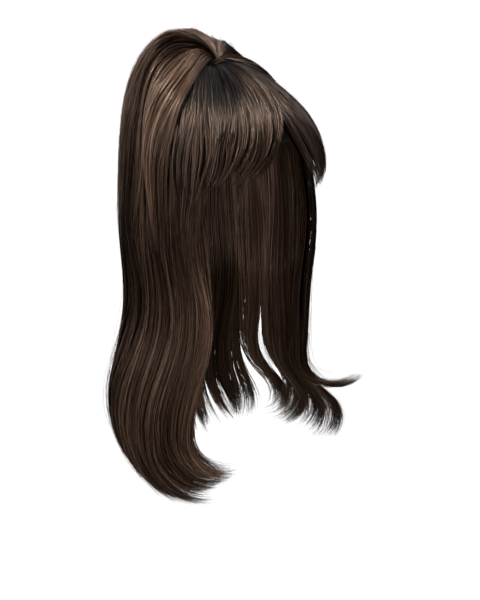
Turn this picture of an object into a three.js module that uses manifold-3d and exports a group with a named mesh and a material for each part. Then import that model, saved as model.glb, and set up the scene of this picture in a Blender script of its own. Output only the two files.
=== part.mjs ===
// A long beehive wig: a net cap, a teased crown puff swept back from a pinch on top of the head, a band of
// strands laid across that pinch, a curtain fringe parted over the forehead, and long hair at the sides and
// back. Every hair piece is a set of tapered locks fused together, so it shows the
// grooves and tips of combed hair.
// Millimetres, +Z up. The origin is on the crown of the head, inside the cap. The face looks along -Y and the
// wearer's left is +X. Azimuths are in degrees from the face, 90 at an ear and 180 at the nape.
import * as THREE from "three";
import { mergeVertices } from "three/addons/utils/BufferGeometryUtils.js";
import Module from "manifold-3d";

const wasm = await Module();
wasm.setup();

// Driving dimensions
const HEAD = { halfWidth: 74, halfLength: 95, halfHeight: 95, centreY: 2 };
const CAP_WALL = 2;
const NECK_Z = -165; // the head is kept clear of hair down to here
const GAP = 0.35; // clearance between neighbouring pieces
const PINCH = new THREE.Vector3(0, 18, 10); // where the puff, the band and the fringe meet
const PUFF_RIM_Z = -92; // the puff's core ends here, over the long hair

// Lower edge of the cap: hairline, ear tab, ear, behind the ear, nape
const CAP_RIM = [
  { azimuth: 0, z: -38 },
  { azimuth: 55, z: -70 },
  { azimuth: 95, z: -90 },
  { azimuth: 140, z: -128 },
  { azimuth: 180, z: -146 },
];

// The long hair by level: the azimuth of its front edge, its outer radius at that edge, at the side, at the
// back corner and at the back, the half thickness of a lock, and how far the left side's front is tucked in.
const MANTLE_STATIONS = { side: 95, corner: 138, back: 180 };
const MANTLE = [
  { level: "root", z: -93, edge: 63, front: 92, side: 93, corner: 112, back: 121, thick: 8, tuck: 0 },
  { level: "ear", z: -150, edge: 63, front: 101, side: 101, corner: 124, back: 132, thick: 8, tuck: 0 },
  { level: "neck", z: -255, edge: 56, front: 95, side: 95, corner: 117, back: 123, thick: 8, tuck: 3 },
  { level: "chest", z: -366, edge: 69, front: 107, side: 118, corner: 144, back: 138, thick: 8, tuck: 8 },
  { level: "hem", z: -450, edge: 70, front: 104, side: 116, corner: 134, back: 128, thick: 7, tuck: 8 },
];
const LOCK_HALF_PER_RADIUS = 0.17; // half width of a long lock as a share of its distance from the axis
const LENS_BULGE = 1.15; // a lens of few sides is made fuller, to keep its thickness

// The ends of the long locks, from the front edge (share 0) round to the middle of the back (share 1; on the
// right of the back it is below 0): the height where the end leaves the mantle, the compass heading that it
// bends to, a bend of a radius and a turn, and a hook back.
const RIGHT_ENDS = [
  { share: 0.07, from: -394, heading: 45, radius: 40, turn: 136, hookRadius: 0, hookTurn: 0 },
  { share: 0.18, from: -406, heading: 40, radius: 52, turn: 128, hookRadius: 0, hookTurn: 0 },
  { share: 0.29, from: -410, heading: 34, radius: 66, turn: 114, hookRadius: 0, hookTurn: 0 },
  { share: 0.4, from: -404, heading: 30, radius: 80, turn: 102, hookRadius: 0, hookTurn: 0 },
  { share: 0.51, from: -394, heading: 28, radius: 92, turn: 92, hookRadius: 0, hookTurn: 0 },
];
const LEFT_ENDS = [
  { share: 0.07, from: -346, heading: 45, radius: 40, turn: 145, hookRadius: 0, hookTurn: 0 },
  { share: 0.18, from: -343, heading: 45, radius: 66, turn: 68, hookRadius: 40, hookTurn: 118 },
  { share: 0.29, from: -347, heading: 45, radius: 66, turn: 64, hookRadius: 35, hookTurn: 119 },
  { share: 0.4, from: -338, heading: 45, radius: 68, turn: 62, hookRadius: 36, hookTurn: 142 },
  { share: 0.51, from: -345, heading: 50, radius: 76, turn: 56, hookRadius: 40, hookTurn: 90 },
];
const BACK_ENDS = [
  { share: -0.63, from: -386, heading: 24, radius: 104, turn: 78, hookRadius: 0, hookTurn: 0 },
  { share: -0.75, from: -390, heading: 18, radius: 108, turn: 68, hookRadius: 0, hookTurn: 0 },
  { share: -0.87, from: -394, heading: 10, radius: 110, turn: 60, hookRadius: 0, hookTurn: 0 },
  { share: 1.0, from: -396, heading: 0, radius: 110, turn: 56, hookRadius: 0, hookTurn: 0 },
  { share: 0.87, from: -394, heading: -10, radius: 110, turn: 56, hookRadius: 0, hookTurn: 0 },
  { share: 0.75, from: -390, heading: -18, radius: 104, turn: 56, hookRadius: 0, hookTurn: 0 },
  { share: 0.63, from: -388, heading: 100, radius: 90, turn: 40, hookRadius: 50, hookTurn: 60 },
];

// The puff's arches by azimuth, less than 0 on the wearer's right. Each rises out of the pinch by a reach and
// a lift and turns down above its rim by a drop.
const PUFF_ARCHES = [
  { azimuth: -180, reach: 32, lift: 64, drop: 129, rim: 131 },
  { azimuth: -138, reach: 32, lift: 65, drop: 134, rim: 122 },
  { azimuth: -100, reach: 26, lift: 36, drop: 98, rim: 103 },
  { azimuth: -82, reach: 22, lift: 17, drop: 84, rim: 99 },
  { azimuth: 82, reach: 22, lift: 9, drop: 79, rim: 99 },
  { azimuth: 100, reach: 24, lift: 13, drop: 90, rim: 103 },
  { azimuth: 138, reach: 30, lift: 46, drop: 104, rim: 120 },
  { azimuth: 180, reach: 32, lift: 64, drop: 129, rim: 131 },
];
const PUFF_LOCKS = { first: 87, count: 14, groove: 4, half: 15, thick: 3.2, tipZ: -146, tipStagger: 18 };
// In front the puff's core is a ramp on the head, under the fringe: spacing of its columns as a share of the
// first lock's azimuth, depth under the arches, and depth under the head's surface
const PUFF_RAMP = { pitch: 0.390625, below: 16, sink: 4 };

// The fringe's guide locks. Each is one curve from the pinch: root, crest over the hairline, fall and tip.
const FRINGE_RIGHT = [
  { guide: "inner", root: [-4, 11, 8], crest: [-10, -32, 15], fall: [-20, -140, -38], tip: [-60, -88, -96] },
  { guide: "mid", root: [-12, 11, 7], crest: [-28, -20, 11], fall: [-66, -110, -50], tip: [-80, -62, -100] },
  { guide: "outer", root: [-20, 13, 6], crest: [-52, 6, 8], fall: [-97, -28, -48], tip: [-97, -32, -121] },
];
const FRINGE_LEFT = [
  { guide: "inner", root: [4, 11, 8], crest: [-6, -32, 15], fall: [-34, -134, -48], tip: [28, -104, -110] },
  { guide: "mid", root: [12, 11, 7], crest: [20, -24, 4], fall: [66, -104, -58], tip: [52, -82, -114] },
  { guide: "outer", root: [20, 13, 6], crest: [48, 6, 0], fall: [95, -36, -54], tip: [92, -36, -122] },
];
const FRINGE_LOCKS = { count: 5, half: 16, thick: 4 };

// The band of strands across the pinch
const BAND = { strands: 3, halfSpan: 34, pitch: 3, rise: 0.7, half: 3, thick: 1.8, dip: 10, forward: 9 };

const HAIR = new THREE.MeshStandardMaterial({ color: 0x2e211b, roughness: 0.38, metalness: 0 });
const HAIR_LIT = new THREE.MeshStandardMaterial({ color: 0x3a2a22, roughness: 0.36, metalness: 0 });
const NET = new THREE.MeshStandardMaterial({ color: 0x1b1613, roughness: 0.85, metalness: 0 });

const UP = new THREE.Vector3(0, 0, 1);
const DOWN = new THREE.Vector3(0, 0, -1);
const radians = THREE.MathUtils.degToRad;

// Compass direction in plan
function compass(azimuth) {
  return new THREE.Vector3(Math.sin(radians(azimuth)), -Math.cos(radians(azimuth)), 0);
}

// Value at x in a table, eased between its rows
function ease(rows, key, column, x) {
  const next = rows.findIndex((row) => row[key] >= x);
  if (next <= 0) return rows[next < 0 ? rows.length - 1 : 0][column];
  const [a, b] = [rows[next - 1], rows[next]];
  const s = THREE.MathUtils.smoothstep(x, a[key], b[key]);
  return THREE.MathUtils.lerp(a[column], b[column], s);
}

// Solids

function solidOf(geometry) {
  const bare = geometry.clone();
  bare.deleteAttribute("normal");
  bare.deleteAttribute("uv");
  const merged = mergeVertices(bare, 1e-4);
  return new wasm.Manifold(new wasm.Mesh({
    numProp: 3,
    vertProperties: new Float32Array(merged.attributes.position.array),
    triVerts: new Uint32Array(merged.index.array),
  }));
}

// The largest body of a cut solid, as a geometry
function geometryOf(solid) {
  const body = solid.decompose().reduce((a, b) => (a.volume() > b.volume() ? a : b));
  const mesh = body.getMesh();
  const geometry = new THREE.BufferGeometry();
  geometry.setAttribute("position", new THREE.BufferAttribute(mesh.vertProperties, 3));
  geometry.setIndex(new THREE.BufferAttribute(mesh.triVerts, 1));
  geometry.computeVertexNormals();
  return geometry;
}

// A closed skin through rings of equally many points, with a fan at each end
function skin(rings) {
  const count = rings[0].length;
  const middle = (ring) => ring.reduce((sum, p) => sum.add(p), new THREE.Vector3()).divideScalar(count);
  const points = [middle(rings[0]), ...rings.flat(), middle(rings.at(-1))];
  const index = [];
  const at = (row, column) => 1 + row * count + (column % count);
  for (let column = 0; column < count; column++) {
    index.push(0, at(0, column + 1), at(0, column));
    index.push(points.length - 1, at(rings.length - 1, column), at(rings.length - 1, column + 1));
    for (let row = 0; row + 1 < rings.length; row++) {
      index.push(at(row, column), at(row, column + 1), at(row + 1, column + 1));
      index.push(at(row, column), at(row + 1, column + 1), at(row + 1, column));
    }
  }
  return new THREE.BufferGeometry().setFromPoints(points).setIndex(index);
}

// A lock along a path: a lens-shaped section carried along it without twisting. half and thick give the
// lens's half width and half thickness at a share of the length, and outward the side away from the head.
function lock(path, outward, half, thick, sides, grow) {
  const rings = [];
  const normal = outward.clone();
  for (let i = 0; i < path.length; i++) {
    const ahead = path[Math.min(i + 1, path.length - 1)];
    const tangent = ahead.clone().sub(path[Math.max(i - 1, 0)]).normalize();
    normal.addScaledVector(tangent, -normal.dot(tangent)).normalize();
    const across = new THREE.Vector3().crossVectors(normal, tangent);
    const share = i / (path.length - 1);
    const past = i === 0 ? -grow : i === path.length - 1 ? grow : 0;
    const ring = [];
    for (let k = 0; k < sides; k++) {
      const turn = (k / sides) * 2 * Math.PI;
      const point = path[i].clone().addScaledVector(tangent, past);
      point.addScaledVector(across, (half(share) + grow) * Math.cos(turn));
      point.addScaledVector(normal, (thick(share) + grow) * Math.sin(turn) * LENS_BULGE);
      ring.push(point);
    }
    rings.push(ring);
  }
  return solidOf(skin(rings));
}

const fused = (solids) => solids.reduce((all, solid) => all.add(solid));

// Cap

// Point on the head grown by an amount, at an azimuth and a height
function headPoint(azimuth, z, grow) {
  const up = (z + HEAD.halfHeight) / (HEAD.halfHeight + grow);
  const round = Math.sqrt(Math.max(0, 1 - up * up));
  const way = compass(azimuth);
  return new THREE.Vector3(
    way.x * (HEAD.halfWidth + grow) * round,
    HEAD.centreY + way.y * (HEAD.halfLength + grow) * round,
    z,
  );
}

// Dome over the head down to a lower edge, as rings from the edge to the crown
function domeRings(grow, rimZ, columns, rows) {
  const rings = [];
  for (let row = 0; row < rows; row++) {
    const ring = [];
    for (let column = 0; column < columns; column++) {
      const azimuth = (column / columns) * 360;
      const folded = azimuth > 180 ? 360 - azimuth : azimuth;
      const low = Math.acos((rimZ(folded) + HEAD.halfHeight) / (HEAD.halfHeight + grow));
      const polar = low * (1 - row / rows);
      ring.push(headPoint(azimuth, (HEAD.halfHeight + grow) * Math.cos(polar) - HEAD.halfHeight, grow));
    }
    rings.push(ring);
  }
  return rings;
}

const capDome = (grow, below) =>
  solidOf(skin(domeRings(grow, (azimuth) => ease(CAP_RIM, "azimuth", "z", azimuth) - below, 28, 6)));

const capShell = () => capDome(CAP_WALL, 0).subtract(capDome(0, 1));

// All that the cap and the head fill, for cutting hair back to the cap
const capClearance = () =>
  capDome(CAP_WALL + GAP, 2).add(solidOf(skin(domeRings(0, () => NECK_Z, 28, 6))));

// Long hair

const MANTLE_DEPTHS = MANTLE.map((row) => ({ ...row, depth: -row.z }));

// Outer radius of the mantle at an azimuth of one level
function mantleRadius(row, azimuth) {
  const stations = [
    { azimuth: row.edge, radius: row.front },
    { azimuth: MANTLE_STATIONS.side, radius: row.side },
    { azimuth: MANTLE_STATIONS.corner, radius: row.corner },
    { azimuth: MANTLE_STATIONS.back, radius: row.back },
  ];
  return ease(stations, "azimuth", "radius", azimuth);
}

// A line down the mantle at a share of the way from the front edge to the middle of the back, on one side
// (1 left, -1 right), at a depth under its outer face
function mantleCurve(share, side, depth) {
  const points = MANTLE.map((row) => {
    const azimuth = THREE.MathUtils.lerp(row.edge, 180, share);
    const tuck = side > 0 ? row.tuck * (1 - share) : 0;
    const radius = mantleRadius(row, azimuth) - row.thick * depth - tuck;
    return compass(side * azimuth).multiplyScalar(radius).setZ(row.z);
  });
  return new THREE.CatmullRomCurve3(points, false, "centripetal");
}

// Goes on along a path: directions turn from down towards the heading, step by step
function bend(path, heading, start, radius, turn, steps) {
  for (let k = 1; k <= steps; k++) {
    const angle = radians(start + (turn * (k - 0.5)) / steps);
    const way = DOWN.clone().multiplyScalar(Math.cos(angle)).addScaledVector(heading, Math.sin(angle));
    path.push(path.at(-1).clone().addScaledVector(way, radius * radians(Math.abs(turn) / steps)));
  }
}

function longLock(end, side, grow) {
  const share = Math.abs(end.share);
  const line = mantleCurve(share, side, 1).getSpacedPoints(60).filter((p) => p.z > end.from);
  const rows = 8;
  const path = Array.from({ length: rows }, (_, k) => line[Math.round((k * (line.length - 1)) / (rows - 1))]);
  const heading = compass(end.heading);
  bend(path, heading, 0, end.radius, end.turn, 4);
  if (end.hookTurn) bend(path, heading, end.turn, end.hookRadius, -end.hookTurn, 3);
  const body = (rows - 1) / (path.length - 1);
  const taper = (s) => 1 - 0.88 * Math.pow(Math.max(0, (s - body) / (1 - body)), 1.5);
  const at = (s) => path[Math.min(rows - 1, Math.round(s * (path.length - 1)))];
  const half = (s) => LOCK_HALF_PER_RADIUS * Math.hypot(at(s).x, at(s).y) * taper(s);
  const thick = (s) => ease(MANTLE_DEPTHS, "depth", "thick", -at(s).z) * taper(s);
  return lock(path, path[0].clone().setZ(0).normalize(), half, thick, 6, grow);
}

const longHair = (ends, side, grow) =>
  fused(ends.map((end) => longLock(end, side || Math.sign(end.share), grow)));

// Puff

function archAt(azimuth, share, sink) {
  const column = (name) => ease(PUFF_ARCHES, "azimuth", name, azimuth);
  const rim = compass(azimuth).multiplyScalar(column("rim") - sink).setZ(PUFF_RIM_Z);
  const start = PINCH.clone().addScaledVector(DOWN, sink);
  const rise = start.clone().addScaledVector(rim.clone().sub(PINCH).setZ(0).normalize(), column("reach"));
  rise.z += column("lift");
  const turn = rim.clone();
  turn.z += column("drop") - sink;
  return new THREE.CubicBezierCurve3(start, rise, turn, rim).getPoint(share);
}

// Azimuths of the swept locks, from the left temple round the back to the right one
const PUFF_STEP = (360 - 2 * PUFF_LOCKS.first) / (PUFF_LOCKS.count - 1);
const puffAzimuth = (k) => PUFF_LOCKS.first + k * PUFF_STEP;
const signed = (azimuth) => (azimuth > 180 ? azimuth - 360 : azimuth);

// Columns of the puff: a ramp on the head in front, and three to a swept lock, the first in its groove
function puffColumns() {
  const front = PUFF_LOCKS.first - PUFF_STEP / 2;
  const columns = [-2, -1, 0, 1, 2].map((k) => (
    { azimuth: k * PUFF_RAMP.pitch * front, sink: 0, ramp: true }
  ));
  for (let k = 0; k < PUFF_LOCKS.count; k++) {
    columns.push({ azimuth: puffAzimuth(k - 0.5), sink: PUFF_LOCKS.groove });
    columns.push({ azimuth: puffAzimuth(k - 0.18), sink: 0 });
    columns.push({ azimuth: puffAzimuth(k + 0.18), sink: 0 });
  }
  columns.push({ azimuth: 360 - front, sink: PUFF_LOCKS.groove });
  return columns;
}

function puffBody(grow) {
  const rows = 8;
  const rings = [];
  for (let row = 0; row <= rows; row++) {
    const share = 1 - (row / rows) * 0.96;
    rings.push(puffColumns().map(({ azimuth, sink, ramp }) => {
      const arch = archAt(signed(azimuth), share, sink * Math.min(1, 2 * share) - grow);
      const z = Math.max(arch.z - PUFF_RAMP.below, PUFF_RIM_Z);
      return ramp ? headPoint(azimuth, z, 5 * grow - PUFF_RAMP.sink) : arch;
    }));
  }
  return solidOf(skin(rings));
}

// The end of a swept lock, laid on the long hair
function puffTip(azimuth, grow) {
  const share = (Math.abs(azimuth) - MANTLE[0].edge) / (180 - MANTLE[0].edge);
  const line = mantleCurve(share, Math.sign(azimuth), -0.25).getSpacedPoints(80);
  const tip = line.find((p) => p.z < PUFF_LOCKS.tipZ + PUFF_LOCKS.tipStagger * Math.sin(azimuth));
  const rim = archAt(azimuth, 1, PUFF_LOCKS.thick + 0.6);
  const path = [archAt(azimuth, 0.92, PUFF_LOCKS.thick + 2.5), rim, rim.clone().lerp(tip, 0.55), tip];
  const half = (s) => PUFF_LOCKS.half * (1 - 0.85 * s * s);
  const thick = (s) => PUFF_LOCKS.thick * (1 - 0.7 * s * s);
  return lock(path, compass(azimuth), half, thick, 6, grow);
}

function puff(grow) {
  const tips = Array.from({ length: PUFF_LOCKS.count }, (_, k) => puffTip(signed(puffAzimuth(k)), grow));
  return puffBody(grow).add(fused(tips));
}

// Fringe

function fringeLock(guides, share, grow) {
  const place = share * (guides.length - 1);
  const before = Math.min(Math.floor(place), guides.length - 2);
  const knots = ["root", "crest", "fall", "tip"].map((column) =>
    new THREE.Vector3(...guides[before][column]).lerp(
      new THREE.Vector3(...guides[before + 1][column]), place - before),
  );
  const path = new THREE.CubicBezierCurve3(...knots).getPoints(9);
  const fade = (s) => Math.max(0, (s - 0.7) / 0.3);
  const half = (s) => FRINGE_LOCKS.half * Math.min(1, 0.3 + 1.3 * s) * (1 - 0.82 * fade(s));
  const thick = (s) => FRINGE_LOCKS.thick * Math.min(1, 0.45 + s) * (1 - 0.7 * fade(s));
  return lock(path, UP, half, thick, 6, grow);
}

function fringe(guides, grow) {
  const { count } = FRINGE_LOCKS;
  return fused(Array.from({ length: count }, (_, k) => fringeLock(guides, k / (count - 1), grow)));
}

// Band

function bandStrand(k, grow) {
  const y = PINCH.y - BAND.forward + k * BAND.pitch;
  const z = PINCH.z + 1 + k * BAND.rise;
  const path = new THREE.QuadraticBezierCurve3(
    new THREE.Vector3(-BAND.halfSpan, y + 4, z - BAND.dip),
    new THREE.Vector3(0, y, z + BAND.dip),
    new THREE.Vector3(BAND.halfSpan, y + 4, z - BAND.dip),
  ).getPoints(8);
  const half = (s) => BAND.half * (0.35 + 0.65 * Math.sin(Math.PI * s));
  const thick = (s) => BAND.thick * (0.5 + 0.5 * Math.sin(Math.PI * s));
  return lock(path, UP, half, thick, 4, grow);
}

const band = (grow) => fused(Array.from({ length: BAND.strands }, (_, k) => bandStrand(k, grow)));

// Assembly: each piece is cut back from those that lie over it, leaving the gap

const clearCap = capClearance();
const clearBand = band(GAP);
const clearPuff = puff(2 * GAP);
const clearFringe = fringe(FRINGE_RIGHT, GAP).add(fringe(FRINGE_LEFT, GAP));
const clearSides = longHair(RIGHT_ENDS, -1, GAP).add(longHair(LEFT_ENDS, 1, GAP));
const crown = clearCap.add(clearBand);

const wig = new THREE.Group();
function add(name, solid, material) {
  const mesh = new THREE.Mesh(geometryOf(solid), material.clone());
  mesh.name = name;
  wig.add(mesh);
}

add("cap", capShell(), NET);
add("crown_band", band(0).subtract(clearCap), HAIR_LIT);
add("beehive_puff", puff(0).subtract(crown), HAIR_LIT);
const laid = crown.add(clearPuff);
const right = fringe(FRINGE_RIGHT, 0).subtract(laid);
const left = fringe(FRINGE_LEFT, 0).subtract(laid);
add("fringe_right", right, HAIR_LIT);
add("fringe_left", left.subtract(fringe(FRINGE_RIGHT, GAP)), HAIR_LIT);
const covered = laid.add(clearFringe);
add("side_hair_right", longHair(RIGHT_ENDS, -1, 0).subtract(covered), HAIR);
add("side_hair_left", longHair(LEFT_ENDS, 1, 0).subtract(covered), HAIR);
add("back_hair", longHair(BACK_ENDS, 0, 0).subtract(covered).subtract(clearSides), HAIR);

export default wig;
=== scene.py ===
# A long dark beehive wig as combed hair. Each hair piece is one mesh of thin ribbons, a ribbon to a strand,
# along the same guide curves as the solid that it stands for. Guides are in millimetres, in the part's own
# frame.
import bpy
import numpy as np
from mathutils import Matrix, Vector


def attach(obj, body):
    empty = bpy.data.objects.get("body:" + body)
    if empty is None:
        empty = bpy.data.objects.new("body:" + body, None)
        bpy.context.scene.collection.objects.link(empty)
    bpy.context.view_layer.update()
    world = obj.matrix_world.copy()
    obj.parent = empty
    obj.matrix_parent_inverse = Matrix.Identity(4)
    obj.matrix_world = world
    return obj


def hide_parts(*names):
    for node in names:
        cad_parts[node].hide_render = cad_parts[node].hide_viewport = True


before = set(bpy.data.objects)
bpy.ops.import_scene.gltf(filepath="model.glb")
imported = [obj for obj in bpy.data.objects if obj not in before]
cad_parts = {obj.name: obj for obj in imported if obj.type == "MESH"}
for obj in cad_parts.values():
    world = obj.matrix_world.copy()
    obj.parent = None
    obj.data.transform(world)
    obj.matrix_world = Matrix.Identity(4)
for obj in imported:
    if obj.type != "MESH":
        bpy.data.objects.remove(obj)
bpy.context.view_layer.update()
rng = np.random.default_rng(11)

MM = 0.001  # metres

# Guides of the part
HEAD = {"half_width": 74, "half_length": 95, "half_height": 95, "centre_y": 2}
CAP_WALL = 2
CAP_RIM = np.array([(0, -38), (55, -70), (95, -90), (140, -128), (180, -146)], float)
PINCH = np.array([0, 18, 10], float)
HEAD_CENTRE = np.array([0, HEAD["centre_y"], -HEAD["half_height"]], float)
PUFF_RIM_Z = -92
STATIONS = {"side": 95, "corner": 138, "back": 180}
# Long hair by depth under the crown: front azimuth, radius in front, at the side, at the corner and at the
# back, and how far the left side's front is tucked in
MANTLE_DEPTH = np.array([93, 150, 255, 366, 450], float)
MANTLE = np.array([
    (63, 92, 93, 112, 121, 0),
    (63, 101, 101, 124, 132, 0),
    (56, 95, 95, 117, 123, 3),
    (69, 107, 118, 144, 138, 8),
    (70, 104, 116, 134, 128, 8),
], float)
# Ends of the long hair: share, height, heading, bend radius, bend turn, hook radius, hook turn back
END_COLUMNS = ("share", "start", "heading", "radius", "turn", "hook_radius", "hook_turn")
RIGHT_ENDS = np.array([
    (0.07, -394, 45, 40, 136, 40, 0),
    (0.18, -406, 40, 52, 128, 40, 0),
    (0.29, -410, 34, 66, 114, 40, 0),
    (0.40, -404, 30, 80, 102, 40, 0),
    (0.51, -394, 28, 92, 92, 40, 0),
    (0.63, -386, 24, 104, 78, 40, 0),
    (0.75, -390, 18, 108, 68, 40, 0),
    (0.87, -394, 10, 110, 60, 40, 0),
    (1.00, -396, 0, 110, 56, 40, 0),
], float)
LEFT_ENDS = np.array([
    (0.07, -346, 45, 40, 100, 42, -55),
    (0.18, -343, 45, 66, 68, 40, 118),
    (0.29, -347, 45, 66, 64, 35, 119),
    (0.40, -338, 45, 68, 62, 36, 142),
    (0.51, -345, 50, 76, 56, 40, 90),
    (0.63, -388, 100, 90, 40, 50, 60),
    (0.75, -390, -18, 104, 56, 40, 0),
    (0.87, -394, -10, 110, 56, 40, 0),
    (1.00, -396, 0, 110, 56, 40, 0),
], float)
# Puff arches: azimuth, reach, lift, drop, rim
PUFF = np.array([
    (-180, 32, 64, 129, 131),
    (-138, 32, 65, 134, 122),
    (-100, 26, 36, 98, 103),
    (-82, 22, 17, 84, 99),
    (82, 22, 9, 79, 99),
    (100, 24, 13, 90, 103),
    (138, 30, 46, 104, 120),
    (180, 32, 64, 129, 131),
], float)
# Fringe guides: root, crest, fall and tip of the inner, middle and outer lock
FRINGE_RIGHT = np.array([
    [(-4, 11, 8), (-10, -32, 15), (-20, -140, -38), (-60, -88, -96)],
    [(-12, 11, 7), (-28, -20, 11), (-66, -110, -50), (-80, -62, -100)],
    [(-20, 13, 6), (-52, 6, 8), (-97, -28, -48), (-97, -32, -121)],
], float)
FRINGE_LEFT = np.array([
    [(4, 11, 8), (-6, -32, 15), (-34, -134, -48), (28, -104, -110)],
    [(12, 11, 7), (20, -24, 4), (66, -104, -58), (52, -82, -114)],
    [(20, 13, 6), (48, 6, 0), (95, -36, -54), (92, -36, -122)],
], float)
BAND = {"strands": 3, "half_span": 34, "pitch": 3, "rise": 0.7, "dip": 10, "forward": 9, "ends_back": 4}


def unit(v):
    return v / np.maximum(np.linalg.norm(v, axis=-1, keepdims=True), 1e-9)


def smoothstep(x, low=0.0, high=1.0):
    s = np.clip((x - low) / (high - low), 0, 1)
    return s * s * (3 - 2 * s)


def compass(azimuth):
    a = np.radians(azimuth)
    return np.stack([np.sin(a), -np.cos(a), np.zeros_like(a)], -1)


# Value at x in a table, eased between its rows
def eased(x, keys, values):
    i = np.clip(np.searchsorted(keys, x), 1, len(keys) - 1)
    s = smoothstep(x, keys[i - 1], keys[i])
    return values[i - 1] + (values[i] - values[i - 1]) * s


# Smooth curve through the rows of a table, at x
def flowing(x, keys, values):
    slopes = np.gradient(values, keys, axis=0)
    i = np.clip(np.searchsorted(keys, x, side="right") - 1, 0, len(keys) - 2)
    span = (keys[i + 1] - keys[i])[..., None]
    s = np.clip((x - keys[i])[..., None] / span, 0, 1)
    rest = values[i] * (1 + 2 * s) * (1 - s) ** 2 + slopes[i] * span * s * (1 - s) ** 2
    return rest + values[i + 1] * s * s * (3 - 2 * s) - slopes[i + 1] * span * s * s * (1 - s)


def softened(path, times):
    for _ in range(times):
        path[:, 1:-1] = 0.25 * path[:, :-2] + 0.5 * path[:, 1:-1] + 0.25 * path[:, 2:]
    return path


# Combing

HOOK_SPREAD = 0.018  # how far the tips of one hook lie apart, as a share


# Strands of a piece: their own places across it, the middles of the tips, and which tip each strand closes
# on. Tips lie anywhere, or close by the places of a few hooks.
def scatter(count, low, high, tips, hooks=None):
    own = rng.uniform(low, high, count)
    if hooks is None:
        middle = rng.uniform(low, high, tips)
        return own, middle, np.abs(own[:, None] - middle).argmin(1)
    each = tips // len(hooks)
    middle = np.repeat(hooks, each) + rng.normal(0, HOOK_SPREAD, each * len(hooks))
    return own, middle, np.abs(own[:, None] - hooks).argmin(1) * each + rng.integers(0, each, count)


# A smooth random field over a piece that draws strands together into broad and narrow locks of uneven
# width. Returns how far a strand moves across and how proud its lock lies.
def combing(own, along, low, high, locks, ropes):
    place = (own[:, None] - low) / (high - low)
    shift = np.zeros_like(along)
    ridge = np.zeros_like(along)
    broad = [(0.22, 0.22, 1.3)] * 5
    middling = [(1.0, 0.15 * ropes, 0.6 * ropes)] * 4
    narrow = [(3.0, 0.12 * ropes, 0.3 * ropes)] * 4
    for size, gain, proud in broad + middling + narrow:
        pitch = size * locks * 2 ** rng.uniform(-0.8, 0.8)
        angle = 2 * np.pi * (pitch * place + rng.normal(0, 0.6) * along + rng.uniform())
        angle = angle + 1.2 * np.sin(2 * np.pi * (rng.uniform(0.4, 1.3) * along + rng.uniform()))
        shift += gain / (2 * np.pi * pitch) * np.sin(angle)
        ridge -= 0.5 * proud * np.cos(angle)
    return shift * (high - low), np.clip(ridge, -1.6, 1.6)


# Side-to-side waves along strands: a few slow sines that grow from the root. Some strands wander more than
# others.
def waves(along, size, turns):
    count = len(along)
    total = np.zeros_like(along)
    for k in (1, 2, 3):
        phase = rng.uniform(0, 2 * np.pi, (count, 1))
        total += rng.normal(0, 1 / k, (count, 1)) * np.sin(np.pi * turns * k * along + phase)
    return size * rng.gamma(1.5, 0.67, (count, 1)) * total * smoothstep(along, 0.02, 0.35)


# Strands laid on a surface, which gives a point for a place across, a place along and a lift off it
def combed(surface, places, along, field, lift, relief, pull, close, sway):
    own, middle, mine = places
    shift, ridge = combing(own, along, *field)
    share = own[:, None] + shift
    grip = rng.uniform(pull[0], pull[1], len(middle))[mine][:, None] * smoothstep(along, *close)
    share = share + (middle[mine][:, None] - share) * grip
    rise = lift[:, None] + relief * ridge * (1 - grip)
    path = surface(share, along, rise)
    outward = unit(surface(share, along, rise + 1) - path)
    across = np.cross(outward, unit(np.gradient(path, axis=1)))
    path = path + across * waves(along, sway, 4.0)[..., None] + outward * waves(along, sway, 4.0)[..., None]
    # Tone differs at random by tip and by strand; the ridge term adds painted light and shade, lighter on
    # proud locks and darker on sunken ones
    tone = 0.5 + rng.normal(0, 0.11, len(middle))[mine] + rng.normal(0, 0.1, len(own)) + 0.14 * ridge.mean(1)
    return {"path": path, "outward": outward[:, 0], "across": across, "tone": tone}


# Loose strands: the same strands bowed away from the piece
def strayed(group, reach):
    path = group["path"]
    along = np.linspace(0, 1, path.shape[1])
    bow = np.sin(np.pi * along ** rng.uniform(0.6, 2.0, (len(path), 1)))
    out = reach * np.minimum(rng.gamma(1.3, 0.4, (len(path), 1)), 1.3) * bow
    aside = reach * np.clip(rng.normal(0, 0.6, (len(path), 1)), -1, 1) * smoothstep(along, 0.1, 1.0)
    path = path + group["outward"][:, None] * out[..., None] + group["across"] * aside[..., None]
    return {**group, "path": path}


# Long hair

# Point of the mantle at a share of the way from its front edge to the middle of the back
def mantle_point(share, side, z, lift):
    row = flowing(np.clip(-z, MANTLE_DEPTH[0], MANTLE_DEPTH[-1]), MANTLE_DEPTH, MANTLE)
    front, at_front, at_side, at_corner, at_back, tuck = np.moveaxis(row, -1, 0)
    azimuth = front + (180 - front) * share
    radius = at_front + (at_side - at_front) * smoothstep(azimuth, front, STATIONS["side"])
    radius = radius + (at_corner - at_side) * smoothstep(azimuth, STATIONS["side"], STATIONS["corner"])
    radius = radius + (at_back - at_corner) * smoothstep(azimuth, STATIONS["corner"], STATIONS["back"])
    radius = radius + lift - np.where(side > 0, tuck * (1 - share), 0)
    point = compass(side * azimuth) * radius[..., None]
    point[..., 2] = z
    return point


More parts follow.
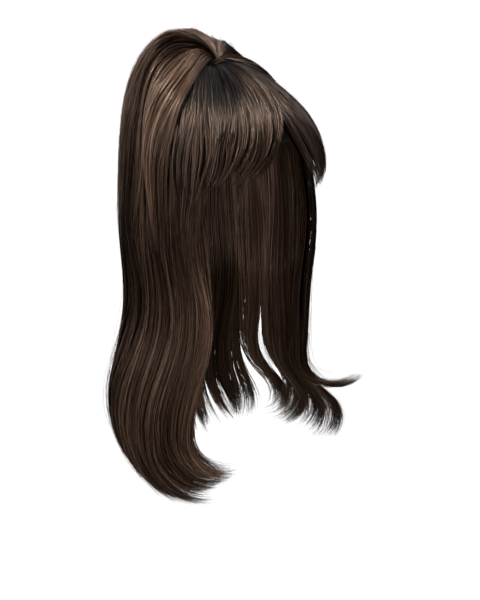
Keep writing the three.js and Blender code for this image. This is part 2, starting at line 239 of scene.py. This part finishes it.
# Surface of long hair: straight down the mantle to the height where the end leaves it, then a bend towards
# the end's heading, then a hook that turns back
def long_surface(side, top, end):
    down = top - end["start"]
    turn = np.radians(end["turn"])
    hook = np.radians(np.abs(end["hook_turn"]))
    sense = -np.sign(end["hook_turn"])
    heading = compass(end["heading"])
    length = down + end["radius"] * turn + end["hook_radius"] * hook

    def surface(share, along, lift):
        run = along * length
        point = mantle_point(share, side, top - np.minimum(run, down), lift)
        bent = np.clip((run - down) / end["radius"], 0, turn)
        back = np.clip((run - down - end["radius"] * turn) / end["hook_radius"], 0, hook)
        drop = end["radius"] * np.sin(bent)
        out = end["radius"] * (1 - np.cos(bent))
        last = turn + sense * back
        drop = drop + np.where(back > 0, end["hook_radius"] * sense * (np.sin(last) - np.sin(turn)), 0)
        out = out + np.where(back > 0, end["hook_radius"] * sense * (np.cos(turn) - np.cos(last)), 0)
        point = point + heading * out[..., None]
        point[..., 2] -= drop
        return softened(point, 2)

    return surface


# Ends of strands, from the table's rows on both sides of the tip's middle or from the nearest row, a little
# apart
def strand_ends(places, table, nearest, loose):
    own, middle, mine = places
    if nearest:
        rows = table[np.abs(middle[:, None] - table[:, 0]).argmin(1)]
    else:
        rows = np.stack([np.interp(middle, table[:, 0], column) for column in table.T], -1)
    end = dict(zip(END_COLUMNS, rows.T[:, mine, None]))
    for name, tip, strand in (("turn", 0.2, 0.14), ("radius", 0.08, 0.04)):
        less = rng.uniform(0, tip * loose, len(middle))[mine] + rng.uniform(0, strand * loose, len(own))
        end[name] = end[name] * (1 - less[:, None])
    up = np.abs(rng.normal(0, 4 * loose, len(middle)))[mine] + np.abs(rng.normal(0, 3 * loose, len(own)))
    end["start"] = end["start"] + up[:, None]
    swing = rng.normal(0, 7 * loose, len(middle))[mine] + rng.normal(0, 4 * loose, len(own))
    end["heading"] = end["heading"] + swing[:, None]
    return end


LONG_ROOTS = (-92, -74)  # heights
LONG_LOCKS = 26  # locks from the front edge to the middle of the back


# Strands that end by the nearest row of the table are hooks, which thin out more towards their tips
def long_strands(count, tips, low, high, side, lifts, table, nearest, rows, loose, pull, close=(0.4, 0.94)):
    inside = (table[:, 0] > low) & (table[:, 0] <= high)
    places = scatter(count, low, high, tips, table[inside, 0] if nearest else None)
    end = strand_ends(places, table, nearest, loose)
    top = rng.uniform(*LONG_ROOTS, (count, 1))
    thinned = 0.08 if nearest else 0.035
    short = rng.uniform(0, 0.04 * loose, len(places[1]))[places[2]] + np.abs(rng.normal(0, thinned, count))
    along = (1 - (1 - np.linspace(0, 1, rows)) ** 1.3) * (1 - short[:, None])
    lift = rng.uniform(lifts[0], lifts[1], count)
    surface = long_surface(side, top, end)
    field = (low, high, LONG_LOCKS * (high - low), 0.45)
    return combed(surface, places, along, field, lift, 1.5, pull, close, 0.35)


# Puff

def bezier(knots, along):
    s = along[..., None]
    a, b, c, d = knots
    return a * (1 - s) ** 3 + 3 * b * s * (1 - s) ** 2 + 3 * c * s * s * (1 - s) + d * s ** 3


def signed(azimuth):
    return (azimuth + 180) % 360 - 180


def arch(azimuth, along, lift):
    reach, lift_off, drop, rim_radius = (eased(azimuth, PUFF[:, 0], column) for column in PUFF.T[1:])
    rim = compass(azimuth) * (rim_radius + lift)[..., None]
    rim[..., 2] = PUFF_RIM_Z
    start = PINCH + lift[..., None] * (0, 0, 1)
    rise = start + unit((rim - PINCH) * (1, 1, 0)) * reach[..., None]
    rise[..., 2] += lift_off
    turn = rim.copy()
    turn[..., 2] += drop + lift
    return bezier((start, rise, turn, rim), along)


ARCH_SHARE = 0.8  # of a puff strand's way


# Surface of the puff: an arch from the pinch to the rim for most of the way, then straight on to a tip on
# the mantle
def puff_surface(tip_z):
    def surface(azimuth, along, lift):
        azimuth = signed(azimuth)
        over = arch(azimuth, np.minimum(along / ARCH_SHARE, 1), lift)
        share = (np.abs(azimuth) - MANTLE[0, 0]) / (180 - MANTLE[0, 0])
        tip = mantle_point(share, np.sign(azimuth), tip_z + 0 * azimuth, 2.5 + lift)
        past = np.clip((along - ARCH_SHARE) / (1 - ARCH_SHARE), 0, 1)[..., None]
        return softened(over + (tip - over) * past, 1)

    return surface


PUFF_LOCKS = 22
TEMPLE = {"azimuth": 96, "spread": 16, "relief": 2.2}  # where the puff's locks stand out most


def puff_strands(count, tips, low, high, lifts, ends, relief):
    places = scatter(count, low, high, tips)
    along = np.linspace(0, 1, 21) * np.ones((count, 1))
    along = along + (1 - along) * rng.uniform(0.0, 0.04, (count, 1))
    lift = rng.uniform(lifts[0], lifts[1], count)
    surface = puff_surface(rng.uniform(ends[0], ends[1], (count, 1)))
    off = (np.abs(signed(places[0])) - TEMPLE["azimuth"]) / TEMPLE["spread"]
    depth = relief * (1 + TEMPLE["relief"] * np.exp(-off ** 2)[:, None]) * smoothstep(along, 0.0, 0.25)
    field = (low, high, PUFF_LOCKS, 1.0)
    return combed(surface, places, along, field, lift, depth, (0.3, 0.75), (0.75, 1.0), 0.3)


# Fringe

def fringe_surface(guides):
    def surface(share, along, lift):
        weights = (2 * (share - 0.5) * (share - 1), -4 * share * (share - 1), 2 * share * (share - 0.5))
        knots = [sum(w[..., None] * guides[g, k] for g, w in enumerate(weights)) for k in range(4)]
        point = bezier(knots, along)
        return point + unit(point - HEAD_CENTRE) * (lift * np.minimum(1, 0.45 + along))[..., None]

    return surface


FRINGE_LOCKS = 16


# Strands of a fringe half. All start within the painted root shade of the length ramp; where the last
# argument is above 0 they start lower on it away from the parting, so their roots carry more painted shade,
# the painted shadow of the puff.
def fringe_strands(guides, count, tips, low, high, lifts, pull, painted_puff_shadow=0.0):
    places = scatter(count, low, high, tips)
    length = rng.uniform(0.84, 1.05, tips)[places[2]] * rng.uniform(0.9, 1.02, count)
    along = np.linspace(0, 1, 18) * length[:, None]
    lift = rng.uniform(lifts[0], lifts[1], count)
    field = (low, high, FRINGE_LOCKS, 1.0)
    strands = combed(fringe_surface(guides), places, along, field, lift, 1.0, pull, (0.4, 1.0), 0.3)
    # Every fringe strand starts at 0.35 or lower on the length ramp, within the painted root shade
    return {**strands, "root": 0.35 - painted_puff_shadow * smoothstep(places[0], 0.1, 0.5)}


def band_strands(count):
    k = rng.uniform(-0.8, BAND["strands"] - 0.2, count)
    y = PINCH[1] - BAND["forward"] + k * BAND["pitch"]
    z = PINCH[2] + 1.6 + k * BAND["rise"] + rng.uniform(-0.6, 0.8, count)
    x = BAND["half_span"] * rng.uniform(0.7, 1.0, count)
    lean = rng.normal(0, 1.2, count)
    left = np.stack([-x, y + BAND["ends_back"] + lean, z - BAND["dip"]], -1)[:, None]
    middle = np.stack([0 * x, y, z + BAND["dip"]], -1)[:, None]
    right = np.stack([x, y + BAND["ends_back"] - lean, z - BAND["dip"]], -1)[:, None]
    along = np.linspace(0, 1, 13) * np.ones((count, 1))
    path = bezier((left, left + (middle - left) * 2 / 3, right + (middle - right) * 2 / 3, right), along)
    outward = np.array([(0.0, 0.0, 1.0)] * count)
    return {"path": path, "outward": outward, "tone": rng.normal(0.45, 0.13, count)}


# Cap

# Point of the cap at an azimuth and a share of the way from its rim to the crown, grown off the head
def cap_point(azimuth, part, grow):
    rim = eased(np.abs(signed(azimuth)), CAP_RIM[:, 0], CAP_RIM[:, 1])
    tall = HEAD["half_height"] + grow
    polar = np.arccos((rim + HEAD["half_height"]) / tall) * (1 - part)
    way = compass(azimuth)
    x = way[..., 0] * (HEAD["half_width"] + grow) * np.sin(polar)
    y = HEAD["centre_y"] + way[..., 1] * (HEAD["half_length"] + grow) * np.sin(polar)
    return np.stack([x, y, tall * np.cos(polar) - HEAD["half_height"]], -1)


# Faces between rows of points, each row a closed ring
def ring_faces(rows, columns):
    at = np.arange(rows * columns).reshape(rows, columns)
    beside = np.roll(at, -1, axis=1)
    return np.stack([at[:-1], beside[:-1], beside[1:], at[1:]], -1).reshape(-1, 4)


CAP_GRID = {"columns": 144, "rows": 30, "stop": 0.999}  # the rings stop just short of the crown


# Wall of the cap: rings down its outer face, round the rim and up its inner face
def cap_wall():
    azimuth = np.linspace(0, 360, CAP_GRID["columns"], endpoint=False)
    rise = np.linspace(CAP_GRID["stop"], 0, CAP_GRID["rows"])
    outer = [cap_point(azimuth, part, CAP_WALL) for part in rise]
    inner = [cap_point(azimuth, part, 0) for part in rise[::-1]]
    return np.concatenate(outer + inner), ring_faces(2 * CAP_GRID["rows"], CAP_GRID["columns"])


def cap_piece(name, material):
    points, faces = cap_wall()
    mesh = bpy.data.meshes.new(name)
    mesh.from_pydata(points * MM, [], faces)
    mesh.shade_smooth()
    mesh.materials.append(material)
    adopt(name, mesh, "cap")


# Under sheets: painted shade for the shaded mass of hair below the strands that show, near black on the
# colour ramps, as grids of points

SHEET_COLUMNS = 48
MANTLE_SHEET = {"rows": 24, "top": -78, "jag": 40, "lift": -7.5}
# The under sheets' places on the colour ramps, at the low end of both: painted shade
SHEET_SHADE_PLACE = (0.03, 0.3)  # on the colour ramps


def sheet(surface, low, high, along, lift):
    share, place = np.meshgrid(np.linspace(low, high, SHEET_COLUMNS), along, indexing="ij")
    return surface(share, place, np.full(share.shape, float(lift)))


def under(points):
    rows, columns, _ = points.shape
    normals = unit(np.cross(np.gradient(points, axis=0), np.gradient(points, axis=1)))
    normals = normals * np.sign((normals * (points - HEAD_CENTRE)).sum())
    at = np.arange(rows * columns).reshape(rows, columns)
    quads = np.stack([at[:-1, :-1], at[1:, :-1], at[1:, 1:], at[:-1, 1:]], -1).reshape(-1, 4)
    places = np.broadcast_to(SHEET_SHADE_PLACE, (rows * columns, 2))
    return points.reshape(-1, 3), normals.reshape(-1, 3), places, quads


def mantle_sheet(low, high, side, end):
    places = np.linspace(low, high, SHEET_COLUMNS)
    share, part = np.meshgrid(places, np.linspace(0, 1, MANTLE_SHEET["rows"]), indexing="ij")
    jag = rng.uniform(0, MANTLE_SHEET["jag"], (SHEET_COLUMNS, 1))
    z = MANTLE_SHEET["top"] + (end - MANTLE_SHEET["top"] + jag) * part
    return mantle_point(share, side, z, np.full(z.shape, MANTLE_SHEET["lift"]))


# Ribbons

SCALE_LEAN = (0.04, 0.03)  # the scales of a hair lean to its root, and its gloss with them
TWIST = 14  # degrees from root to tip
ROUNDING = 0.55  # how far the normals at a ribbon's edges lean out
BAKE_MAP = "OFBake"


# Outward directions carried along paths without twisting
def carried(outward, tangent):
    normal = np.empty_like(tangent)
    now = np.array(outward, float)
    for k in range(tangent.shape[1]):
        now = unit(now - (now * tangent[:, k]).sum(-1, keepdims=True) * tangent[:, k])
        normal[:, k] = now
    return normal


# Points, normals, texture places and faces of one ribbon to each strand
def ribbons(group):
    path = group["path"]
    count, rows, _ = path.shape
    tangent = unit(np.gradient(path, axis=1))
    normal = carried(group["outward"], tangent)
    across = np.cross(normal, tangent)
    along = np.linspace(0, 1, rows)
    tilt = rng.normal(0, group["tilt"], (count, 1)) + rng.normal(0, TWIST, (count, 1)) * along
    tilt = np.radians(tilt)[..., None]
    side = across * np.cos(tilt) + normal * np.sin(tilt)
    face = normal * np.cos(tilt) - across * np.sin(tilt) - rng.normal(*SCALE_LEAN, (count, 1, 1)) * tangent
    taper = (0.55 + 0.45 * smoothstep(along, 0, 0.15)) * (1 - 0.85 * smoothstep(along, 0.78, 1.0))
    half = 0.5 * rng.uniform(group["width"][0], group["width"][1], (count, 1)) * taper
    points = np.stack([path + side * half[..., None], path - side * half[..., None]], 2)
    normals = unit(np.stack([face + ROUNDING * side, face - ROUNDING * side], 2))
    at = np.arange(count * rows * 2).reshape(count, rows, 2)
    quads = np.stack([at[:, :-1, 0], at[:, :-1, 1], at[:, 1:, 1], at[:, 1:, 0]], -1).reshape(-1, 4)
    # Painted light and shade: the layer's tone shift is added to the strand's tone, and the place along the
    # length ramp from the root carries the painted root shade
    tone = group["tone"][:, None] + np.interp(along, (0.5, 1.0), group["painted_light_and_shade"])
    place = np.empty((count, rows, 2, 2))
    place[..., 0] = np.clip(tone, 0.02, 0.98)[..., None]
    place[..., 1] = np.clip(group["from"] + (0.98 - group["from"]) * along, 0.02, 0.98)[..., None]
    return points.reshape(-1, 3), normals.reshape(-1, 3), place.reshape(-1, 2), quads


def hair_piece(name, node, material, groups, sheets):
    parts = [ribbons(group) for group in groups] + [under(points) for points in sheets]
    start = np.cumsum([0] + [len(part[0]) for part in parts])
    points, normals, places = (np.concatenate([part[k] for part in parts]) for k in range(3))
    quads = np.concatenate([part[3] + first for part, first in zip(parts, start)])
    mesh = bpy.data.meshes.new(name)
    mesh.from_pydata(points * MM, [], quads)
    mesh.shade_smooth()
    bake = mesh.uv_layers.new(name=BAKE_MAP)
    bake.uv.foreach_set("vector", places[quads.ravel()].ravel().astype(np.float32))
    mesh.normals_split_custom_set_from_vertices(normals)
    mesh.materials.append(material)
    adopt(name, mesh, node)


def adopt(name, mesh, node):
    piece = bpy.data.objects.new(name, mesh)
    bpy.context.scene.collection.objects.link(piece)
    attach(piece, "root")
    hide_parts(node)


# A layer of strands with its ribbons' looks. The shade is a change of tone up to the middle and at the tip,
# painted light and shade on the layer.
def layer(strands, width, tilt, painted_light_and_shade, start):
    return {**strands, "width": width, "tilt": tilt, "painted_light_and_shade": painted_light_and_shade, "from": start}


# Materials

def new_material(name):
    material = bpy.data.materials.new(name)
    material.use_nodes = True
    nodes = material.node_tree.nodes
    nodes.clear()
    shader = nodes.new("ShaderNodeBsdfPrincipled")
    output = nodes.new("ShaderNodeOutputMaterial")
    material.node_tree.links.new(shader.outputs["BSDF"], output.inputs["Surface"])
    return material, nodes, material.node_tree.links, shader


def ramp(nodes, stops):
    node = nodes.new("ShaderNodeValToRGB")
    elements = node.color_ramp.elements
    while len(elements) < len(stops):
        elements.new(0.5)
    for element, (place, colour) in zip(elements, stops):
        element.position = place
        element.color = (*colour, 1)
    return node


# Hair: the strand's tone across the ramp, its own tone with painted light and shade added; along the length,
# painted shade at the root, and a little lighter at the tip, painted light
def hair_material(name):
    material, nodes, links, shader = new_material(name)
    uv = nodes.new("ShaderNodeUVMap")
    uv.uv_map = BAKE_MAP
    split = nodes.new("ShaderNodeSeparateXYZ")
    links.new(uv.outputs["UV"], split.inputs["Vector"])
    tones = ramp(nodes, [
        (0.0, (0.003, 0.0017, 0.0012)),
        (0.35, (0.022, 0.0125, 0.008)),
        (0.65, (0.064, 0.037, 0.024)),
        (1.0, (0.17, 0.102, 0.068)),
    ])
    links.new(split.outputs["X"], tones.inputs["Fac"])
    # Painted shade at the root: low on this ramp the colour is darkened, where the roots lie in shade
    length = ramp(nodes, [
        (0.0, (0.04, 0.04, 0.04)),
        (0.42, (0.12, 0.115, 0.11)),
        (0.6, (0.95, 0.94, 0.93)),
        (1.0, (1.0, 1.0, 1.0)),
    ])
    links.new(split.outputs["Y"], length.inputs["Fac"])
    mix = nodes.new("ShaderNodeMix")
    mix.data_type = "RGBA"
    mix.blend_type = "MULTIPLY"
    mix.inputs["Factor"].default_value = 1.0
    links.new(tones.outputs["Color"], mix.inputs["A"])
    links.new(length.outputs["Color"], mix.inputs["B"])
    links.new(mix.outputs["Result"], shader.inputs["Base Color"])
    rough = nodes.new("ShaderNodeMapRange")
    rough.inputs["To Min"].default_value = 0.34
    rough.inputs["To Max"].default_value = 0.26
    links.new(split.outputs["X"], rough.inputs["Value"])
    links.new(rough.outputs["Result"], shader.inputs["Roughness"])
    # The same painted root shade dims the gloss: the specular tint is darkened by the length ramp
    gloss = nodes.new("ShaderNodeMix")
    gloss.data_type = "RGBA"
    gloss.blend_type = "MULTIPLY"
    gloss.inputs["Factor"].default_value = 1.0
    gloss.inputs["A"].default_value = (1.0, 0.66, 0.48, 1)
    links.new(length.outputs["Color"], gloss.inputs["B"])
    links.new(gloss.outputs["Result"], shader.inputs["Specular Tint"])
    shader.inputs["Specular IOR Level"].default_value = 0.44
    return material


# Net: a fine mesh of cells, a little raised
def net_material(name):
    material, nodes, links, shader = new_material(name)
    place = nodes.new("ShaderNodeTexCoord")
    weave = nodes.new("ShaderNodeTexVoronoi")
    weave.feature = "DISTANCE_TO_EDGE"
    weave.inputs["Scale"].default_value = 420
    links.new(place.outputs["Object"], weave.inputs["Vector"])
    tones = ramp(nodes, [
        (0.0, (0.02, 0.015, 0.012)),
        (0.18, (0.012, 0.009, 0.0075)),
        (0.4, (0.004, 0.003, 0.0026)),
    ])
    links.new(weave.outputs["Distance"], tones.inputs["Fac"])
    links.new(tones.outputs["Color"], shader.inputs["Base Color"])
    bump = nodes.new("ShaderNodeBump")
    bump.invert = True
    bump.inputs["Strength"].default_value = 0.5
    bump.inputs["Distance"].default_value = 0.0006
    links.new(weave.outputs["Distance"], bump.inputs["Height"])
    links.new(bump.outputs["Normal"], shader.inputs["Normal"])
    shader.inputs["Roughness"].default_value = 0.8
    return material


# Pieces

hair_swept = hair_material("hair_swept")
hair_long = hair_material("hair_long")
net = net_material("net")

cap_piece("cap_net", net)

# Looks of strands: widths, tilts in degrees, and where on the length ramp a strand with a hidden root starts,
# past the painted root shade
FINE = (0.42, 0.75)
LOOSE = (0.2, 0.34)
FLAT_TILT = 18
LOOSE_TILT = 40
PAST_ROOT_SHADE = 0.62
SIDE_SHARE = 0.57  # where side hair ends and back hair starts

# Each piece has strands that show, others below them, and a few loose ones
# Puff: the strands that show are lighter up to the middle, painted light where the puff is lit from above;
# those below are darker and start within the painted root shade, painted shade under the top layer; the loose
# ones are a little lighter
puff = puff_strands(3700, 90, 83, 277, (-2.5, 0.5), (-185, -112), 0.55)
deep = puff_strands(900, 60, 84, 276, (-7, -4), (-150, -110), 0.55)
stray = strayed(puff_strands(70, 70, 87, 273, (0, 1), (-190, -130), 0.5), 5)
hair_piece("puff_strands", "beehive_puff", hair_swept, [
    layer(puff, FINE, FLAT_TILT, (0.3, 0.05), PAST_ROOT_SHADE),
    layer(deep, FINE, FLAT_TILT, (-0.1, -0.1), 0.2),
    layer(stray, LOOSE, LOOSE_TILT, (0.2, 0.1), 0.3),
], [sheet(puff_surface(-100.0), 84, 276, np.linspace(0.02, 0.84, 24), -8)])
# The band's strands, like the loose strands, start within the painted root shade of the length ramp
hair_piece("band_strands", "crown_band", hair_swept, [
    layer(band_strands(70), FINE, 30, (0.0, 0.0), 0.3),
], [])
# Fringes: tones shifted darker, painted shade; all their strands start within the painted root shade, and on
# the right fringe away from the parting deeper in it, the painted shadow of the puff
for name, guides, painted_puff_shadow in (("fringe_right", FRINGE_RIGHT, 0.5), ("fringe_left", FRINGE_LEFT, 0.0)):
    top = fringe_strands(guides, 2700, 38, -0.07, 1.07, (0.5, 4), (0.5, 0.95), painted_puff_shadow)
    deep = fringe_strands(guides, 600, 30, -0.04, 1.12, (-3, -1), (0.35, 0.8))
    stray = strayed(fringe_strands(guides, 40, 40, 0.0, 1.0, (3, 4), (0.0, 0.3)), 4)
    hair_piece(name + "_strands", name, hair_swept, [
        layer(top, FINE, 22, (-0.26, -0.2), top["root"][:, None]),
        layer(deep, FINE, FLAT_TILT, (-0.2, -0.2), 0.0),
        layer(stray, LOOSE, LOOSE_TILT, (0.1, 0.1), 0.2),
    ], [sheet(fringe_surface(guides), -0.03, 1.1, np.linspace(0, 0.84, 20), -3)])
# Side hair: tones a little darker up to the middle, painted shade below the puff and fringes, and lighter at
# the tips, painted light; on the left side the strands below are lighter, painted light on the far side's
# front edge
SIDES = (("side_hair_right", -1, RIGHT_ENDS, False), ("side_hair_left", 1, LEFT_ENDS, True))
for name, side, table, nearest in SIDES:
    loose = 0.5 if nearest else 0.7
    common = (0.0, SIDE_SHARE, side)
    tips = 20 if nearest else 60
    grip = (0.85 if nearest else 0.52, 0.97)
    top = long_strands(2700, tips, *common, (-4, 0.5), table, nearest, 25, loose, grip)
    deep = long_strands(900, tips, *common, (-16, -10), table, nearest, 25, 1.0, (0.4, 0.9))
    stray = strayed(long_strands(150, 150, *common, (-2, 1), table, nearest, 25, 1.5, (0.0, 0.3)), 8)
    hair_piece(name + "_strands", name, hair_long, [
        layer(top, FINE, FLAT_TILT, (-0.08, 0.16), PAST_ROOT_SHADE),
        layer(deep, FINE, FLAT_TILT, (0.2, 0.2) if nearest else (0.0, 0.1), PAST_ROOT_SHADE),
        layer(stray, LOOSE, LOOSE_TILT, (0.1, 0.2), 0.3),
    ], [mantle_sheet(0.01, SIDE_SHARE + 0.01, side, -305 if nearest else -350)])
# Back hair: tones a little darker up to the middle and lighter at the tips, painted shade and painted light
# as on the side hair
back = []
for side, table in ((-1, RIGHT_ENDS), (1, LEFT_ENDS)):
    common = (SIDE_SHARE, 1.03, side)
    ends = (table, False, 17, 0.8)
    top = long_strands(1800, 34, *common, (-4, 0.5), *ends, (0.35, 0.85), (0.75, 1.0))
    deep = long_strands(600, 60, *common, (-14, -7), *ends, (0.0, 0.3))
    stray = strayed(long_strands(50, 50, *common, (-2, 1), *ends, (0.0, 0.3)), 6)
    back += [
        layer(top, FINE, FLAT_TILT, (-0.08, 0.16), PAST_ROOT_SHADE),
        layer(deep, FINE, FLAT_TILT, (0.0, 0.1), PAST_ROOT_SHADE),
        layer(stray, LOOSE, LOOSE_TILT, (0.1, 0.2), 0.3),
    ]
hair_piece("back_hair_strands", "back_hair", hair_long, back, [
    mantle_sheet(SIDE_SHARE - 0.01, 1.0, side, -372) for side in (-1, 1)
])

# Stage: pale floor, soft lamps and the camera, in metres

FLOOR_Z = -0.85
FLOOR_HALF = 14
mesh = bpy.data.meshes.new("floor")
corners = [(FLOOR_HALF * x, FLOOR_HALF * y, FLOOR_Z) for x, y in ((-1, -1), (1, -1), (1, 1), (-1, 1))]
mesh.from_pydata(corners, [], [(0, 1, 2, 3)])
floor = bpy.data.objects.new("floor", mesh)
bpy.context.scene.collection.objects.link(floor)
paint, nodes, links, shader = new_material("pale_floor")
grain = nodes.new("ShaderNodeTexNoise")
grain.inputs["Scale"].default_value = 3.0
pale = ramp(nodes, [(0.3, (0.43, 0.43, 0.434)), (0.7, (0.45, 0.45, 0.452))])
links.new(grain.outputs["Fac"], pale.inputs["Fac"])
links.new(pale.outputs["Color"], shader.inputs["Base Color"])
shader.inputs["Roughness"].default_value = 0.7
mesh.materials.append(paint)
floor.visible_glossy = False
floor.visible_diffuse = False


def lamp(name, kind, place, energy, size, target=(0, 0, -0.1)):
    data = bpy.data.lights.new(name, kind)
    data.energy = energy
    if kind == "AREA":
        data.size = size
    else:
        data.angle = size
    light = bpy.data.objects.new(name, data)
    light.location = place
    light.rotation_mode = "QUATERNION"
    light.rotation_quaternion = (Vector(target) - Vector(place)).to_track_quat("-Z", "Y")
    light.visible_camera = False
    bpy.context.scene.collection.objects.link(light)


lamp("key", "SUN", (-1.0, 0.9, 1.5), 4.3, 0.25)
lamp("side", "SUN", (-1.0, 1.0, 0.3), 1.5, 0.6)
lamp("top", "SUN", (0.28, -0.28, 0.9), 2.0, 0.3)
lamp("fill", "SUN", (0.6, -0.2, 0.75), 1.0, 0.4)
lamp("front", "SUN", (-0.4, -1.0, 0.3), 0.3, 0.8)
lamp("edge", "SUN", (-1.0, 0.3, 0.5), 1.0, 0.8)
lamp("bounce", "AREA", (-0.1, -0.28, -0.3), 0.6, 0.15, (0.08, 0.0, -0.3))

# Studio: a pale backdrop, and for the light a white sweep behind the object and a darker room in front
world = bpy.data.worlds.new("studio")
world.use_nodes = True
nodes = world.node_tree.nodes
links = world.node_tree.links
where = nodes.new("ShaderNodeTexCoord")
facing = nodes.new("ShaderNodeVectorMath")
facing.operation = "DOT_PRODUCT"
facing.inputs[1].default_value = (0.6, 0.6, 0.5)
links.new(where.outputs["Generated"], facing.inputs[0])
sweep = ramp(nodes, [(0.0, (0.05, 0.05, 0.05)), (0.25, (0.1, 0.1, 0.1)), (0.75, (0.6, 0.6, 0.6))])
links.new(facing.outputs["Value"], sweep.inputs["Fac"])
ray = nodes.new("ShaderNodeLightPath")
seen = nodes.new("ShaderNodeMix")
seen.data_type = "RGBA"
seen.inputs["B"].default_value = (1.0, 1.0, 1.0, 1)
links.new(ray.outputs["Is Camera Ray"], seen.inputs["Factor"])
links.new(sweep.outputs["Color"], seen.inputs["A"])
links.new(seen.outputs["Result"], nodes["Background"].inputs["Color"])
nodes["Background"].inputs["Strength"].default_value = 1.0
bpy.context.scene.world = world

VIEW_RANGE = 0.9115  # to the right of the object and in front of it
VIEW_ASIDE = 0.0076
VIEW_HEIGHT = 0.187
VIEW_TURN = (71, 0, -45)  # degrees
camera = bpy.data.objects.new("camera", bpy.data.cameras.new("camera"))
camera.data.sensor_width = 24
camera.data.lens = 48
camera.location = (-VIEW_RANGE + VIEW_ASIDE, -VIEW_RANGE - VIEW_ASIDE, VIEW_HEIGHT)
camera.rotation_euler = np.radians(VIEW_TURN)
bpy.context.scene.collection.objects.link(camera)
bpy.context.scene.camera = camera
bpy.context.scene.view_settings.view_transform = "Standard"
